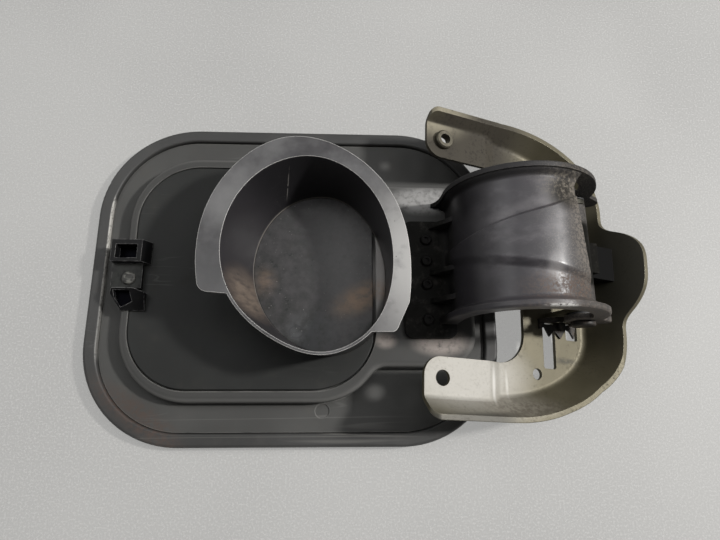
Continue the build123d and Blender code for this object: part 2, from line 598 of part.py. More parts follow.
# The rim is low along the ears, higher round the bowl, tallest at the bump behind the pin
rim_space = []
for rim, u0, u1 in ((RIM_LOW, -FAR, 0), (RIM_HIGH, 0, FAR)):
    rim_line = polygon([(EAR_END, -FAR), (FAR, -FAR), (FAR, rim[-1][1])] + rim[::-1] + [(EAR_END, rim[0][1])])
    end_corner = rim_line.vertices().sort_by(Axis.X).filter_by(lambda v: v.Y > 0)[0]
    rim_space.append(across(fillet(end_corner, RIM_END_R), u0, u1))
bump_curve = Spline(BUMP_LINE, tangents=[(1, 0), (1, 0)])
bump_foot = Polyline([BUMP_LINE[-1], (BUMP_LINE[-1][0], 0), (BUMP_LINE[0][0], 0), BUMP_LINE[0]])
bump_face = make_face([bump_curve, bump_foot])
bump_space = extrude(Plane(origin=(BOWL_RUN, 0, 0), x_dir=(0, 1, 0), z_dir=(1, 0, 0)) * bump_face, FAR)
bracket = bracket & (rim_space[0] + rim_space[1] + bump_space)

# Ears, the gap between them, holes
bracket = bracket - prism(rounded(-FAR, GAP_X, -EAR_IN, EAR_IN, GAP_R), -FAR, FAR)
bracket = bracket - block(-FAR, EAR_END, -FAR, FAR, -FAR, FAR)
ear_corners = [e for e in bracket.edges().filter_by(GeomType.LINE) if e.bounding_box().size.Z > SHEET_T / 2
               and abs(abs(e.center().Y) - EAR_IN) < NEAR and e.center().X < 0]
bracket = fillet(ear_corners, EAR_CORNER)
bracket = bracket - Pos(EAR_HOLE_X, -EAR_HOLE_OFF) * Cylinder(EAR_HOLE_R, 4 * SHEET_T)
bracket = bracket - Pos(EAR_HOLE_X, EAR_HOLE_OFF) * Cylinder(NUT_SHANK_R, 4 * SHEET_T)
lug_face = Pos(PIVOT_BX, PIVOT_BZ) * Circle(LUG_R)
lug_face = lug_face + rounded(PIVOT_BX - LUG_R, PIVOT_BX + LUG_R, FLOOR_Z0, PIVOT_BZ, LUG_FOOT_R)
for side in (-1, 1):
    bracket = bracket - Pos(BOWL_X - DRAIN_BACK, side * (BOWL_HALF - DRAIN_EDGE)) * Cylinder(DRAIN_R, FAR / 4)
    slot_y = BOWL_HALF - SLOT_EDGE - SLOT_L / 2
    slot = Pos(BOWL_X - SLOT_BACK, slot_y) * RectangleRounded(SLOT_W, SLOT_L, SLOT_R)
    window_y = BOWL_HALF - WINDOW_EDGE - WINDOW_L / 2
    window = Pos(BOWL_X - WINDOW_BACK, window_y) * RectangleRounded(WINDOW_W, WINDOW_L, WINDOW_R)
    for hole in (slot, window):
        cutter = prism(hole, FLOOR_Z0 - OVER, FLOOR_Z1 + OVER)
        bracket = bracket - (mirror(cutter, Plane.XZ) if side < 0 else cutter)

# Rubber buffer: it fills the foot of the tall wall under the heel, held by a peg through the wall
buffer = block(SKEWED_BUFFER_X, FAR, BUFFER_OFF - BUFFER_HALF, BUFFER_OFF + BUFFER_HALF, BUFFER_Z0, BUFFER_Z1)
buffer = buffer & inside
near_edges = [e for e in buffer.edges() if abs(e.center().X - SKEWED_BUFFER_X) < NEAR]
buffer = fillet(near_edges, BUFFER_EDGE)
peg_z = (BUFFER_Z0 + BUFFER_Z1) / 2
peg_x = BOWL_X + WALL_FLARE_X * (peg_z - FLOOR_Z1)
wall_lean = Plane(origin=(peg_x, BUFFER_OFF, peg_z), x_dir=(0, 1, 0), z_dir=(1, 0, -WALL_FLARE_X))
bracket = bracket - wall_lean * Cylinder(BUFFER_PEG_R, 4 * SHEET_T)
peg = Pos(0, 0, -2 * SHEET_T) * Cylinder(BUFFER_PEG_R, 2 * SHEET_T, align=STAND)
peg = peg + Cylinder(BUFFER_PEG_HEAD_R, BUFFER_PEG_HEAD_H, align=STAND)
buffer = buffer + wall_lean * peg
save(BRACKET_FRAME * SKEWED * buffer, "stop_buffer")

# The pressed sheet sits a little askew of the pin; the lugs stand square to it
bracket = SKEWED * bracket
for side in (-1, 1):
    bracket = bracket + across(lug_face, *sorted([side * LUG_IN, side * LUG_OUT]))
bracket = bracket - rod(PIVOT_BX, PIVOT_BZ, PIN_R, -ARM_HALF, ARM_HALF)
bracket = bracket - Pos(*SPRING_RIVET) * Cylinder(SPRING_RIVET_R, FAR / 4)
save(BRACKET_FRAME * bracket, "hinge_bracket")

# Threaded collar clenched in the upper ear
nut = Pos(EAR_HOLE_X, EAR_HOLE_OFF) * (
    Cylinder(NUT_R, NUT_H, align=STAND)
    + Pos(0, 0, -SHEET_T) * Cylinder(NUT_SHANK_R, SHEET_T, align=STAND))
nut = nut - Pos(EAR_HOLE_X, EAR_HOLE_OFF) * Cylinder(NUT_BORE_R, FAR)
nut_top = nut.faces().sort_by(Axis.Z)[-1].outer_wire().edges()
nut = chamfer(nut_top, NUT_CHAMFER)
save(BRACKET_FRAME * SKEWED * nut, "ear_nut")

# Spring plate with claws along one edge and a leaf that arches under the hub
teeth = [(SPRING_X0 + along, SPRING_Y - deep) for along, deep in SPRING_TEETH]
plate_face = polygon([(SPRING_X0, SPRING_Y)] + teeth + [(SPRING_X1, SPRING_Y)])
plate = prism(plate_face, FLOOR_Z1, FLOOR_Z1 + SPRING_T)
leaf_top = PIVOT_BZ - HUB_R - SPRING_LEAF_GAP
leaf_arc = make_face([
    ThreePointArc((SPRING_X0, FLOOR_Z1 + SPRING_T), (PIVOT_BX, leaf_top), (SPRING_X1, FLOOR_Z1 + SPRING_T)),
    Line((SPRING_X1, FLOOR_Z1 + SPRING_T), (SPRING_X1, FLOOR_Z1)),
    ThreePointArc((SPRING_X1, FLOOR_Z1), (PIVOT_BX, leaf_top - SPRING_T), (SPRING_X0, FLOOR_Z1)),
    Line((SPRING_X0, FLOOR_Z1), (SPRING_X0, FLOOR_Z1 + SPRING_T))])
leaf = across(leaf_arc, SPRING_Y - SPRING_LEAF_W, SPRING_Y)
leaf_gap = block(SPRING_X0 + SPRING_TAB, SPRING_X1 - SPRING_TAB, SPRING_Y - SPRING_LEAF_W, FAR, -FAR, FAR)
spring = plate - leaf_gap + leaf
spring = spring - Pos(*SPRING_RIVET) * Cylinder(SPRING_RIVET_R, FAR / 4)
save(BRACKET_FRAME * spring, "hinge_spring")
s_head = Cylinder(SPRING_RIVET_HEAD_R, SPRING_RIVET_HEAD_H, align=STAND)
s_rivet = Pos(*SPRING_RIVET, FLOOR_Z1 + SPRING_T) * s_head
s_rivet = s_rivet + Pos(*SPRING_RIVET, FLOOR_Z0) * Cylinder(
    SPRING_RIVET_R, SHEET_T + SPRING_T, align=STAND)
save(BRACKET_FRAME * s_rivet, "spring_rivet")

# Pin through cheeks and lugs, clip in its groove, bushes in the cheeks
pin = rod(PIVOT_X, PIVOT_Z, PIN_R, HINGE_Y - PIN_END, HINGE_Y + PIN_END + CLIP_T + PIN_TIP)
pin = pin + rod(PIVOT_X, PIVOT_Z, PIN_HEAD_R, HINGE_Y - PIN_END - PIN_HEAD_H, HINGE_Y - PIN_END)
groove_y = HINGE_Y + PIN_END
pin_neck = rod(PIVOT_X, PIVOT_Z, PIN_R + OVER, groove_y, groove_y + CLIP_T)
pin = pin - (pin_neck - rod(PIVOT_X, PIVOT_Z, CLIP_GROOVE_R, groove_y, groove_y + CLIP_T))
pin = chamfer(pin.edges().filter_by(GeomType.CIRCLE).group_by(Axis.Y)[0], PIN_CHAMFER)
pin = chamfer(pin.edges().filter_by(GeomType.CIRCLE).group_by(Axis.Y)[-1], PIN_CHAMFER)
save(pin, "hinge_pin")
clip = rod(PIVOT_X, PIVOT_Z, CLIP_R, groove_y, groove_y + CLIP_T)
clip = clip - rod(PIVOT_X, PIVOT_Z, CLIP_GROOVE_R, groove_y, groove_y + CLIP_T)
clip_x = PIVOT_X - CLIP_MOUTH / 2
clip = clip - block(clip_x, clip_x + CLIP_MOUTH, groove_y, groove_y + CLIP_T, PIVOT_Z, FAR)
save(clip, "pin_clip")
bushes = []
for side in (-1, 1):
    flange_in = HINGE_Y + side * (ARM_IN - BUSH_FLANGE_T)
    wall_in = HINGE_Y + side * ARM_IN
    tip = HINGE_Y + side * ARM_HALF
    bush = rod(PIVOT_X, PIVOT_Z, BUSH_FLANGE_R, flange_in, wall_in)
    bush = bush + rod(PIVOT_X, PIVOT_Z, BUSH_R, wall_in, tip)
    bushes.append(bush - rod(PIVOT_X, PIVOT_Z, PIN_R + PIN_RUN, HINGE_Y, tip + side * OVER))
save(Compound(children=bushes), "pivot_bushes")

# Screws of the foot, all alike
screws = []
for y in SCREW_Y:
    screw = Pos(SCREW_X, y, FOOT_Z1) * Cylinder(SCREW_HEAD_R, SCREW_HEAD_H, align=STAND)
    screw = fillet(screw.edges().sort_by(Axis.Z)[-1], SCREW_HEAD_H / 2)
    screw = screw + Pos(SCREW_X, y, FOOT_Z1 - SCREW_L) * Cylinder(SCREW_R, SCREW_L, align=STAND)
    drive = Pos(SCREW_X, y) * RegularPolygon(SCREW_DRIVE_R, SCREW_DRIVE_SIDES)
    screw_top = FOOT_Z1 + SCREW_HEAD_H
    screws.append(screw - prism(drive, screw_top - SCREW_DRIVE_D, screw_top))
save(Compound(children=screws), "arm_screws")
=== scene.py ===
from math import radians

import bmesh
import bpy
from mathutils import Euler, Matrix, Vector

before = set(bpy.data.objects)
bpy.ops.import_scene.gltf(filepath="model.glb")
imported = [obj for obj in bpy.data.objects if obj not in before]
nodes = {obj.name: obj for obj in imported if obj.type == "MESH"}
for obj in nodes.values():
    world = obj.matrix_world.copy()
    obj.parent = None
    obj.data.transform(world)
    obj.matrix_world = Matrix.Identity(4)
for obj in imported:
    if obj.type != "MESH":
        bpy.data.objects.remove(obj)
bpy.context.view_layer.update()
scene = bpy.context.scene
scene.view_settings.view_transform = "Standard"

# Places and lengths of the patterns are in millimetres from the door's origin, as in the CAD
MM = 1000

# The photograph's camera: where it stood in millimetres, how it was turned in degrees, and its lens
CAMERA_MM = (20.1, -61.0, 259.0)
CAMERA_TURN = (14.54, -2.54, -0.14)
LENS_MM = 26.5
SENSOR_MM = 36.0
NEAREST_MM = 10.0

# How many rays look for an edge, and how deep the spark grain of the large mouldings is
EDGE_RAYS = 6
SPARK_DEEP = 0.012


class Shade:
    """A value in a node tree. Sums, products and the like of values add Math nodes."""

    def __init__(self, owner, socket):
        self.owner = owner
        self.socket = socket

    def maths(self, operation, first, second):
        return self.owner.node("ShaderNodeMath", {"operation": operation}, {0: first, 1: second})

    def __add__(self, other):
        return self.maths("ADD", self, other)

    def __radd__(self, other):
        return self.maths("ADD", other, self)

    def __sub__(self, other):
        return self.maths("SUBTRACT", self, other)

    def __rsub__(self, other):
        return self.maths("SUBTRACT", other, self)

    def __mul__(self, other):
        return self.maths("MULTIPLY", self, other)

    def __rmul__(self, other):
        return self.maths("MULTIPLY", other, self)

    def __abs__(self):
        return self.maths("ABSOLUTE", self, 0.0)

    def most(self, other):
        return self.maths("MAXIMUM", self, other)


class NodeTree:
    """A node tree that is emptied and then filled by one method."""

    def __init__(self, tree):
        self.tree = tree
        self.tree.nodes.clear()

    def node(self, kind, settings, sockets, out=0):
        """Adds a node: its settings first, then the values or links of its sockets. Gives one output."""
        made = self.tree.nodes.new(kind)
        for key, value in settings.items():
            setattr(made, key, value)
        for key, value in sockets.items():
            socket = made.inputs[key]
            if isinstance(value, Shade):
                self.tree.links.new(value.socket, socket)
            elif socket.type == "RGBA":
                socket.default_value = (*value, 1.0)
            else:
                socket.default_value = value
        return Shade(self, made.outputs[out]) if made.outputs else None

    def ramp(self, value, low, high, first=0.0, last=1.0):
        """first below low and last above high, eased between them; low may be the larger one."""
        return self.node("ShaderNodeMapRange", {"interpolation_type": "SMOOTHSTEP"}, {
            "Value": value, "From Min": low, "From Max": high, "To Min": first, "To Max": last})


class Finish(NodeTree):
    """A procedural material. Coats of colour are laid one over the other, then it gets its surface."""

    def __init__(self, name):
        self.material = bpy.data.materials.new(name)
        self.material.use_nodes = True
        super().__init__(self.material.node_tree)
        place = self.node("ShaderNodeTexCoord", {}, {}, "Object")
        self.facing = self.node("ShaderNodeTexCoord", {}, {}, "Normal")
        self.mm = self.node("ShaderNodeMapping", {}, {"Vector": place, "Scale": (MM, MM, MM)})
        self.colour = None

    def grain(self, size, detail=2.0, rough=0.5, stretch=(1, 1, 1), turn=(0, 0, 0), warp=0.0):
        """Noise whose blotches are about size across, drawn out along stretch after a turn."""
        place = self.node("ShaderNodeMapping", {}, {
            "Vector": self.mm, "Rotation": tuple(radians(t) for t in turn),
            "Scale": tuple(1 / (size * s) for s in stretch)})
        return self.node("ShaderNodeTexNoise", {}, {
            "Vector": place, "Scale": 1.0, "Detail": detail, "Roughness": rough, "Distortion": warp})

    def blots(self, size, low, high, detail=2.0, rough=0.5):
        """Noise cut to blots with soft edges, which grow as low and high come down."""
        return self.ramp(self.grain(size, detail, rough), low, high)

    def speck(self, size, reach):
        """Round specks about size apart, each reaching over that share of its cell."""
        cells = self.node("ShaderNodeTexVoronoi", {}, {"Vector": self.mm, "Scale": 1 / size}, "Distance")
        return self.ramp(cells, reach, reach * 0.4)

    def hairs(self, size, turn, thin=0.01, length=12):
        """Fine scratches that run along one way."""
        lines = self.grain(size, 1.0, 0.4, (length, 1, 1), turn, 0.4)
        return self.ramp(abs(lines - 0.5), thin, thin * 0.3)

    def patch(self, middle, reach, soft=0.5, turn=(0, 0, 0)):
        """A round patch that reaches so far along each axis from its middle; soft is its fading share."""
        place = self.node("ShaderNodeMapping", {"vector_type": "TEXTURE"}, {
            "Vector": self.mm, "Location": middle, "Rotation": tuple(radians(t) for t in turn),
            "Scale": reach})
        far = self.node("ShaderNodeVectorMath", {"operation": "LENGTH"}, {0: place}, "Value")
        return self.ramp(far, 1.0, 1.0 - soft)

    def along(self, axis):
        """How far along an axis a point is, in millimetres."""
        return self.node("ShaderNodeSeparateXYZ", {}, {0: self.mm}, axis)

    def faces(self, axis):
        """How squarely the surface faces along an axis, from -1 to 1."""
        return self.node("ShaderNodeSeparateXYZ", {}, {0: self.facing}, axis)

    def between(self, value, low, high, soft):
        return self.ramp(value, low - soft, low + soft) * self.ramp(value, high + soft, high - soft)

    def edge(self, reach, low=0.02, high=0.2):
        """How near a sharp outer or inner edge is, by how far rounding it would turn the surface."""
        turned = self.node("ShaderNodeBevel", {"samples": EDGE_RAYS}, {"Radius": reach / MM})
        flat = self.node("ShaderNodeNewGeometry", {}, {}, "Normal")
        same = self.node("ShaderNodeVectorMath", {"operation": "DOT_PRODUCT"}, {0: turned, 1: flat}, "Value")
        return self.ramp(1 - same, low, high)

    def mix(self, share, first, second):
        return self.node("ShaderNodeMix", {"data_type": "RGBA", "clamp_factor": True},
                         {0: share, 6: first, 7: second}, 2)

    def coat(self, share, over):
        """Lays a colour over the coats below it, as thickly as share says."""
        self.colour = self.mix(share, self.colour, over)

    def surface(self, rough, height, deep, soft, metal=0.0, specular=0.5):
        """The shader: height is a bump so many millimetres deep, over edges rounded by soft millimetres."""
        rounded = self.node("ShaderNodeBevel", {"samples": EDGE_RAYS}, {"Radius": soft / MM})
        normal = self.node("ShaderNodeBump", {}, {
            "Strength": 1.0, "Distance": deep / MM, "Height": height, "Normal": rounded})
        return self.node("ShaderNodeBsdfPrincipled", {}, {
            "Base Color": self.colour, "Roughness": rough, "Metallic": metal, "Normal": normal,
            "Specular IOR Level": specular}, "BSDF")

    def done(self, surface):
        """Joins the shader to the output and gives the material."""
        self.node("ShaderNodeOutputMaterial", {}, {"Surface": surface})
        return self.material


def paint(finish, *parts):
    """Puts one finish on CAD pieces."""
    for part in parts:
        mesh = nodes[part].data
        mesh.materials.clear()
        mesh.materials.append(finish)


def tone(colour, by):
    return tuple(c * by for c in colour)


# Dirt that several pieces share
DUST = (0.2, 0.18, 0.155)
EARTH = (0.095, 0.057, 0.042)
RUST = (0.36, 0.25, 0.17)

# Where the cap holder stands on the plateau, and how far its oval foot reaches
CUP_FOOT = (11, 2, 12.6)
CUP_FOOT_X = 34
CUP_FOOT_Y = 42


def moulded_black(name, base, worn, fine, dusty=1.0):
    """Black moulding with a fine spark grain, soft clouds, dust on what faces up and a few hair scratches."""
    f = Finish(name)
    cloud = f.grain(42, 3, 0.5)
    up = f.ramp(f.faces("Z"), 0.3, 0.95)
    f.colour = f.mix(f.ramp(cloud, 0.32, 0.7), tone(base, 0.86), tone(base, 1.16))
    dust = f.blots(9, 0.5, 0.8, 5, 0.65) * up
    f.coat(dust * (0.09 * dusty), DUST)
    specks = f.speck(2.2, 0.1) * f.blots(16, 0.52, 0.68) * up
    f.coat(specks * (0.3 * dusty), DUST)
    scratch = f.hairs(8, (0, 0, 32)).most(f.hairs(11, (0, 0, -51), 0.007))
    scratch = scratch * f.blots(24, 0.56, 0.7)
    f.coat(scratch * 0.2, worn)
    rough = 0.46 + 0.1 * cloud + 0.16 * dust - 0.06 * scratch
    height = f.grain(fine, 2, 0.6) - 0.4 * scratch
    return f, rough, height


# Door skin: a pale strip on the rim's inner wall by the latch, rubbed and painted as a highlight where the
# wall faces the key light, brown earth in the low corner
SKIN_BLACK = (0.045, 0.045, 0.044)
SKIN_WORN = (0.17, 0.17, 0.165)
SKIN_RUBBED_AND_HIGHLIGHT = (0.46, 0.45, 0.42)
SKIN_DRAGGED = (0.2, 0.195, 0.18)
SKIN_EDGE = (0.17, 0.168, 0.16)


def skin_black():
    f, rough, height = moulded_black("skin_black", SKIN_BLACK, SKIN_WORN, 0.6)
    # Pale strip on the rim wall that faces the key light: rubbing, and a painted highlight
    wall = f.between(f.along("X"), -92.3, -90.7, 0.5) * f.ramp(f.faces("X"), 0.1, 0.6)
    rub_and_highlight = f.patch((-91.3, 18, 6), (12, 36, 9), 0.25)
    rub_and_highlight = rub_and_highlight.most(f.patch((-91.3, -26, 6), (12, 20, 9), 0.4) * 0.28)
    f.coat(rub_and_highlight * wall * f.blots(1.3, 0.3, 0.5, 4, 0.7), SKIN_RUBBED_AND_HIGHLIGHT)
    earth = f.patch((-70, -64, 6), (36, 9, 9), 0.7, (0, 0, -37)) * f.blots(2.4, 0.36, 0.62, 5, 0.7)
    f.coat(earth * 0.6, EARTH)
    drag = f.hairs(5, (0, 0, 1), 0.03, 40) * f.patch((-5, -74, 7), (85, 7, 8), 0.5)
    f.coat(drag * 0.35, SKIN_DRAGGED)
    f.coat(f.edge(0.5, 0.03, 0.25) * 0.4, SKIN_EDGE)
    return f.done(f.surface(rough + 0.12 * earth, height, SPARK_DEEP, soft=0.35))


# Inner frame: darker plateau, pale dust on the hinge platform, a strip inside the cap holder that is dusty
# and painted paler as light against the holder's shadow
FRAME_BLACK = (0.064, 0.064, 0.061)
FRAME_WORN = (0.15, 0.15, 0.145)
FRAME_PLATEAU = (0.03, 0.03, 0.029)
FRAME_DRAGGED = (0.19, 0.185, 0.175)
FRAME_CROWN_HIGHLIGHT = (0.16, 0.158, 0.152)
FRAME_FILM = (0.33, 0.327, 0.32)
FRAME_STRIP_DUST_AND_LIGHT = (0.38, 0.362, 0.35)
FRAME_EDGE_WEAR_AND_HIGHLIGHT = (0.22, 0.217, 0.205)
FRAME_SHOULDER_DUST_AND_HIGHLIGHT = (0.38, 0.335, 0.305)


def frame_black():
    f, rough, height = moulded_black("frame_black", FRAME_BLACK, FRAME_WORN, 0.6)
    f.coat(f.ramp(f.along("Z"), 12.0, 12.8) * 0.5, FRAME_PLATEAU)
    earth = f.patch((-68, -64, 6), (36, 7, 9), 0.85, (0, 0, -35)) * f.blots(2.4, 0.34, 0.6, 5, 0.7)
    f.coat(earth * 0.5, EARTH)
    drag = f.hairs(5, (0, 0, -1), 0.03, 40) * f.patch((-10, -66, 5), (75, 9, 8), 0.5)
    f.coat(drag * 0.3, FRAME_DRAGGED)
    # Painted highlight on the sloped fillet round the plateau
    crown_highlight = f.between(f.faces("Z"), 0.45, 0.93, 0.1) * f.ramp(f.along("Z"), 8, 11.5)
    f.coat(crown_highlight * 0.4, FRAME_CROWN_HIGHLIGHT)
    film = f.patch((64, 39, 13), (24, 9, 5), 0.6) * f.blots(3, 0.15, 0.6, 5, 0.65)
    f.coat(film * 0.85, FRAME_FILM)
    # Dust and painted light: the strip inside the cap holder is made paler where the holder's shadow falls on
    # it
    strip = f.patch(CUP_FOOT, (CUP_FOOT_X, CUP_FOOT_Y, 4), 0.1)
    f.coat(strip * 0.9, FRAME_STRIP_DUST_AND_LIGHT)
    rust = f.patch((40, -7, 12.6), (6, 7, 9), 0.8) * f.blots(3.4, 0.3, 0.6, 6, 0.66)
    f.coat(rust * 0.6, RUST)
    # Worn edges, also painted paler as highlights where edges catch the light
    f.coat(f.edge(1.0, 0.02, 0.22) * f.blots(9, 0.25, 0.55, 3) * 0.7, FRAME_EDGE_WEAR_AND_HIGHLIGHT)
    # Pinkish dust and a painted highlight on the rounded end of the hinge platform
    shoulder_dust_and_highlight = f.patch((69, -32, 13), (17, 8, 8), 0.7).most(f.patch((43, -31, 12), (7, 5, 6), 0.8))
    f.coat(shoulder_dust_and_highlight * f.blots(3, 0.15, 0.55, 5, 0.65) * 0.9, FRAME_SHOULDER_DUST_AND_HIGHLIGHT)
    rough = rough + 0.12 + 0.12 * earth - 0.3 * strip
    return f.done(f.surface(rough, height, SPARK_DEEP, soft=0.4))


# Centre panel: darker, hazy, speckled and stained brown inside the cap holder, with haze and painted light on
# the hinge side of the holder's floor, where the holder's wall shades it
PANEL_BLACK = (0.021, 0.022, 0.021)
PANEL_WORN = (0.1, 0.1, 0.095)
PANEL_HAZE = (0.058, 0.055, 0.057)
PANEL_HAZE_AND_LIGHT_BY_HINGE = (0.125, 0.122, 0.122)
PANEL_DAMP = (0.09, 0.097, 0.101)
PANEL_FLECK = (0.32, 0.31, 0.3)
PANEL_RING = (0.03, 0.03, 0.034)
PANEL_SPECULAR = 0.32


def panel_black():
    f, rough, height = moulded_black("panel_black", PANEL_BLACK, PANEL_WORN, 0.6, 0.7)
    inside = f.patch(CUP_FOOT, (CUP_FOOT_X, CUP_FOOT_Y, 20), 0.1)
    mottle = f.blots(6, 0.32, 0.68, 6, 0.72)
    f.coat(inside * mottle, PANEL_HAZE)
    # Haze and painted light: paler towards the hinge, where the holder's wall shades the floor
    f.coat(inside * f.ramp(f.along("X"), 4, 26) * (0.4 + 0.5 * mottle), PANEL_HAZE_AND_LIGHT_BY_HINGE)
    damp = f.patch((8, -28, 12.6), (17, 14, 9), 0.7) * f.blots(6, 0.3, 0.6, 4, 0.6)
    f.coat(inside * damp * 0.5, PANEL_DAMP)
    f.coat(inside * f.speck(1.9, 0.16) * f.blots(8, 0.42, 0.6) * 0.7, PANEL_FLECK)
    streaks = f.grain(3.4, 6, 0.66, (1.5, 1, 1), (0, 0, -28))
    stain = f.patch((32, -10.5, 12.6), (20, 9.5, 9), 0.9, (0, 0, 28)) * f.ramp(streaks, 0.16, 0.66)
    stain = stain.most(f.patch((-14, -3, 12.6), (8, 10, 9), 0.9) * f.ramp(streaks, 0.2, 0.7) * 0.32)
    f.coat(stain * 0.9, RUST)
    ring_at = (1.5, -27, 12.6)
    ring = f.patch(ring_at, (4.0, 3.4, 9), 0.16) - f.patch(ring_at, (3.2, 2.6, 9), 0.2)
    f.coat(ring * 0.5, PANEL_RING)
    rough = rough + 0.06 + 0.1 * stain - inside * (0.3 - 0.12 * mottle)
    return f.done(f.surface(rough, height, SPARK_DEEP, soft=0.25, specular=PANEL_SPECULAR))


# Cap holder: flange rubbed grey, palest by the hinge where a painted sheen is added, with painted sheen and
# shade on its left; rim worn and painted bright as a highlight; painted shade on the far inner wall; tan dust
# down the low left of its wall
CUP_BLACK = (0.028, 0.026, 0.029)
CUP_WORN = (0.16, 0.16, 0.155)
CUP_FLANGE = (0.125, 0.124, 0.126)
CUP_FLANGE_SHEEN = (0.22, 0.22, 0.22)
CUP_FLANGE_SHADE = (0.045, 0.045, 0.047)
CUP_FLANGE_RUBBED_AND_SHEEN = (0.4, 0.395, 0.385)
CUP_FAR_WALL_SHADE = (0.009, 0.009, 0.01)
CUP_PIT = (0.03, 0.03, 0.03)
CUP_TAN = (0.205, 0.162, 0.128)
CUP_FLECK = (0.17, 0.165, 0.16)
CUP_SCRATCH = (0.2, 0.19, 0.18)
CUP_FOOT_DUST = (0.24, 0.225, 0.205)
CUP_RIM_WEAR_AND_HIGHLIGHT = (0.78, 0.77, 0.74)


def cup_grey():
    f, rough, height = moulded_black("cup_grey", CUP_BLACK, CUP_WORN, 0.5, 0.6)
    high = f.along("Z")
    inner = f.ramp(high, 44.3, 43.4)
    flange = (1 - inner) * f.ramp(f.faces("Z"), 0.4, 0.9)
    f.coat(flange * f.blots(17, 0.2, 0.75, 4, 0.6), CUP_FLANGE)
    # Painted sheen towards the far left of the flange, and painted shade on its left
    f.coat(f.patch((-25, 25, 45), (16, 20, 6), 0.8) * flange * 0.4, CUP_FLANGE_SHEEN)
    f.coat(f.patch((-32, -6, 45), (12, 18, 6), 0.7) * flange * 0.55, CUP_FLANGE_SHADE)
    # Painted shade on the holder's inner wall on the far side
    f.coat(inner * f.ramp(f.faces("Y"), -0.4, -0.8) * 0.7, CUP_FAR_WALL_SHADE)
    # Rubbed flange by the hinge, also made paler as a painted sheen from the key light
    rubbed_and_sheen = f.patch((54, 0, 45), (34, 52, 6), 0.9) * f.blots(7, 0.05, 0.5, 5, 0.6)
    f.coat(rubbed_and_sheen * flange, CUP_FLANGE_RUBBED_AND_SHEEN)
    f.coat(f.speck(4.2, 0.1) * f.patch((47, 2, 45), (9, 22, 6), 0.5) * 0.7, CUP_PIT)
    runs = f.ramp(f.grain(3.0, 6, 0.6, (1, 1, 9)), 0.14, 0.66)
    tan = f.patch((-23, -15, 24), (19, 19, 30), 0.7) * runs * inner * f.ramp(f.faces("X"), -0.1, 0.3)
    f.coat(tan * 0.85, CUP_TAN)
    f.coat(f.speck(3.0, 0.09) * f.blots(10, 0.5, 0.66) * inner * 0.6, CUP_FLECK)
    scratch = f.patch((-3.2, 41, 27), (0.28, 9, 15), 0.5, (0, 7.4, 0)) * f.blots(1.6, 0.36, 0.5, 3) * inner
    f.coat(scratch * 0.8, CUP_SCRATCH)
    f.coat(f.ramp(high, 13.9, 13.3) * 0.8, CUP_FOOT_DUST)
    # Worn rim edge, also painted near white as a highlight
    f.coat(f.edge(0.45, 0.02, 0.14) * f.ramp(high, 40.0, 42.5), CUP_RIM_WEAR_AND_HIGHLIGHT)
    return f.done(f.surface(rough - 0.14 + 0.2 * tan, height, deep=0.006, soft=0.3))


# Latch housing: gloss black with edges worn and painted bright as highlights, a duller seat for the rivet,
# and pockets painted dead black as shade, made metal so they show no reflection
LATCH_BLACK = (0.006, 0.006, 0.0065)
LATCH_WORN = (0.1, 0.1, 0.1)
LATCH_SEAT = (0.034, 0.036, 0.033)
LATCH_POCKET_SHADE = (0.002, 0.002, 0.003)
LATCH_EDGE_WEAR_AND_HIGHLIGHT = (0.4, 0.395, 0.39)
LATCH_SPECULAR = 0.16


def latch_gloss():
    f, rough, height = moulded_black("latch_gloss", LATCH_BLACK, LATCH_WORN, 0.8, 0.4)
    level = f.ramp(f.faces("Z"), 0.96, 0.99)
    seat = f.between(f.along("Z"), 14.6, 15.8, 0.3) * level
    f.coat(seat * f.blots(3, 0.2, 0.6, 4, 0.7) * 0.7, LATCH_SEAT)
    # Painted shade: the floors of the pockets are near black, and metal so they reflect next to nothing
    pocket_shade = f.ramp(f.along("Z"), 14.4, 13.8) * level
    f.coat(pocket_shade, LATCH_POCKET_SHADE)
    # Worn edges, also painted bright as highlights
    f.coat(f.edge(0.35, 0.03, 0.2) * f.blots(2, 0.35, 0.55, 3) * (1 - pocket_shade) * 0.85, LATCH_EDGE_WEAR_AND_HIGHLIGHT)
    return f.done(f.surface(rough - 0.12, height, deep=0.008, soft=0.25, metal=pocket_shade * 0.95,
                            specular=LATCH_SPECULAR))


# Hinge arm: smeared on top and painted there with a sheen, baked dirt by the upper lip, reddish grit by the
# lower one, its back edge rubbed rough; painted shade on the upper lip, the left flank, the foot and the tab,
# grime on the foot; a painted glint, a painted highlight along the crest with painted shade below it, and a
# scraped lower lip edge painted bright as a highlight
ARM_BLACK = (0.05, 0.047, 0.053)
ARM_WORN = (0.16, 0.155, 0.15)
ARM_SMEAR_AND_SHEEN = (0.17, 0.16, 0.172)
ARM_FLANK_SHADE = (0.012, 0.011, 0.013)
ARM_DRY = (0.022, 0.019, 0.016)
ARM_LIP_SHADE = (0.011, 0.01, 0.01)
ARM_GLINT = (0.33, 0.32, 0.32)
ARM_CREST_HIGHLIGHT = (0.16, 0.152, 0.16)
ARM_FOLD_SHADE = (0.018, 0.017, 0.02)
ARM_SAND = (0.17, 0.15, 0.13)
ARM_BAKED = (0.018, 0.016, 0.012)
ARM_SCUFF = (0.2, 0.178, 0.148)
ARM_GRIT = (0.115, 0.082, 0.066)
ARM_CRUST = (0.2, 0.175, 0.15)
ARM_MUD = (0.15, 0.125, 0.105)
ARM_EDGE = (0.24, 0.22, 0.19)
ARM_SCRAPE_AND_HIGHLIGHT = (0.55, 0.54, 0.52)
ARM_GRIME_SHADE = (0.014, 0.014, 0.012)
ARM_GRIME_SHADE_DRY = (0.06, 0.056, 0.05)


